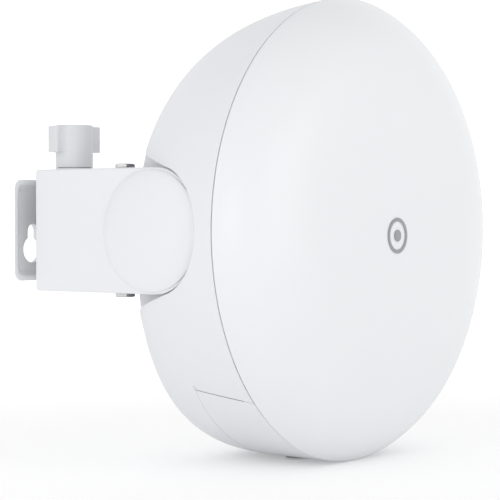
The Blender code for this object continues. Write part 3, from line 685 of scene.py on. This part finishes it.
# nodes that show as the CAD has them, by their look
CAD_LOOKS = {
    INNER_GREY: ["azimuth_knuckle", "friction_ring", "port_frame"]
    + [f"radome_clip_{i}" for i in range(1, 7)],
    KNOB_GREY: ["knob_washer"],
    STEEL: ["foot_screw_1", "foot_screw_2", "knob_stud", "knob_insert", "ground_screw"]
    + [f"board_post_{i}" for i in range(1, 5)] + [f"drum_screw_{i}" for i in range(1, 5)],
    SHEET: ["rf_shield", "ethernet_jack"],
    CAST: ["pivot_drum", "core_frame", "heat_spreader", "feed_horn"],
    SPUN: ["reflector", "sub_reflector"],
    RUBBER: ["pivot_bush_top", "pivot_bush_bottom", "vent_plug", "reset_button"],
    GROMMET: ["cable_grommet"],
    SEAL: ["seam_gasket"],
    BOARD: ["radio_board"],
    CERAMIC: ["gps_patch"],
    PIPE: ["light_pipe"],
    BADGE: ["badge_dot"],
}
for look, names in CAD_LOOKS.items():
    for name in names:
        paint(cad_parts[name], look)

piece(make_radome(), FACE_WHITE, "dish", "white_plastic", "radome")
piece(make_rear_shell(), SHELL_WHITE, "dish", "white_plastic", "rear_shell")
piece(make_port_cover(), SHELL_WHITE, "port_cover", "white_plastic", "port_cover")
piece(make_arm(), ARM_WHITE, "arm", "white_plastic", "arm_housing")
piece(make_cap(), ARM_WHITE, "arm", "white_plastic", "arm_cap")
head, nut = make_head_and_nut()
piece(head, STEEL, "arm", "steel", "clamp_bolt")
piece(make_shank(), STEEL, "arm", "steel", "clamp_bolt")
piece(nut, STEEL, "arm", "steel", "clamp_nut")
piece(make_knob(), KNOB_GREY, "knob", "grey_plastic", "knob")
piece(make_plate(), ARM_WHITE, "wall_bracket", "white_plastic", "wall_plate")
piece(make_badge_ring(), BADGE, "dish", "badge_grey", "badge_ring")


# ---- room, light and camera -----------------------------------------------------------------
def make_room():
    """Pale floor that curves up into a backdrop behind the object."""
    floor_z = CAD_BOX[0][2]
    mesh = bpy.data.meshes.new("studio_floor")
    near_end, bend_start, bend_r, top = -3.0, 2.0, 1.0, 4.0
    bend = [i * math.pi / 24 for i in range(13)]
    line = [(near_end, 0.0)]
    line += [(bend_start + bend_r * math.sin(a), bend_r - bend_r * math.cos(a)) for a in bend]
    line += [(bend_start + bend_r, top)]
    half_width = 4.0
    work = bmesh.new()
    rows = []
    across = FORWARD.cross(Vector((0, 0, 1))).normalized()
    along = Vector((FORWARD.x, FORWARD.y, 0.0)).normalized()
    middle = Vector((SEAM.x, SEAM.y, floor_z))
    for reach, rise in line:
        rows.append([work.verts.new(middle + along * reach + across * side + Vector((0, 0, rise)))
                     for side in (-half_width, half_width)])
    for near, far in zip(rows, rows[1:]):
        work.faces.new((near[0], near[1], far[1], far[0]))
    bmesh.ops.recalc_face_normals(work, faces=work.faces)
    work.to_mesh(mesh)
    work.free()
    for face in mesh.polygons:
        face.use_smooth = True
    obj = bpy.data.objects.new("studio_floor", mesh)
    bpy.context.scene.collection.objects.link(obj)

    # It glows more away from the object, and more to the camera than to the object above it.
    n = Nodes("studio_paper")
    n.link(n.ramp(n.noise(3.0), (0.90, 0.90, 0.90), (0.92, 0.92, 0.92)), n.shader.inputs["Base Color"])
    n.link(n.span(n.noise(40.0), 0.9, 1.0), n.shader.inputs["Roughness"])
    n.shader.inputs["Specular IOR Level"].default_value = 0.0
    n.shader.inputs["Emission Color"].default_value = (1.0, 1.0, 1.0, 1.0)
    away = n.tree.nodes.new("ShaderNodeVectorMath")
    away.operation = "DISTANCE"
    away.inputs[1].default_value = middle
    n.link(n.place, away.inputs[0])
    glow = n.tree.nodes.new("ShaderNodeMapRange")
    glow.inputs["From Min"].default_value = 0.25
    glow.inputs["From Max"].default_value = 1.10
    glow.inputs["To Min"].default_value = 0.11
    glow.inputs["To Max"].default_value = 0.36
    n.link(away.outputs["Value"], glow.inputs["Value"])
    seen = n.tree.nodes.new("ShaderNodeMath")
    seen.operation = "MULTIPLY_ADD"
    seen.inputs[1].default_value = 0.10
    n.link(n.tree.nodes.new("ShaderNodeLightPath").outputs["Is Camera Ray"], seen.inputs[0])
    n.link(glow.outputs["Result"], seen.inputs[2])
    n.link(seen.outputs["Value"], n.shader.inputs["Emission Strength"])
    mesh.materials.append(n.material)


def area_light(name, where, size, power):
    """A rectangular light that faces the dish."""
    data = bpy.data.lights.new(name, "AREA")
    data.shape = "RECTANGLE"
    data.size, data.size_y = size
    data.energy = power
    obj = bpy.data.objects.new(name, data)
    obj.location = where
    obj.rotation_euler = (SEAM - where).to_track_quat("-Z", "Y").to_euler()
    bpy.context.scene.collection.objects.link(obj)


# the camera, worked out from the outline of the seam's circle
FORWARD = Vector((0.80037, 0.59925, -0.01734)).normalized()
EYE = SEAM + Vector((-0.82172, -0.54329, 0.00588))

camera = bpy.data.objects.new("camera", bpy.data.cameras.new("camera"))
camera.data.sensor_width = 36.0
camera.data.lens = 126.72
camera.data.clip_start = 0.01
camera.location = EYE
camera.rotation_euler = FORWARD.to_track_quat("-Z", "Y").to_euler()
bpy.context.scene.collection.objects.link(camera)
bpy.context.scene.camera = camera

make_room()
right = FORWARD.cross(Vector((0, 0, 1))).normalized()
up = Vector((0, 0, 1))
area_light("key_left", EYE - right * 0.9 + up * 0.35, (1.2, 1.0), 2.8)
area_light("front_soft", SEAM + Vector((0.35, -1.7, 0.15)), (1.6, 1.3), 7.0)
area_light("camera_soft", EYE - FORWARD * 0.1 + up * 0.10, (0.30, 0.30), 0.8)

world = bpy.data.worlds.new("studio_world")
world.use_nodes = True
world.node_tree.nodes["Background"].inputs["Color"].default_value = (1.0, 1.0, 1.0, 1.0)
world.node_tree.nodes["Background"].inputs["Strength"].default_value = 0.70
bpy.context.scene.world = world
bpy.context.scene.view_settings.view_transform = "Standard"
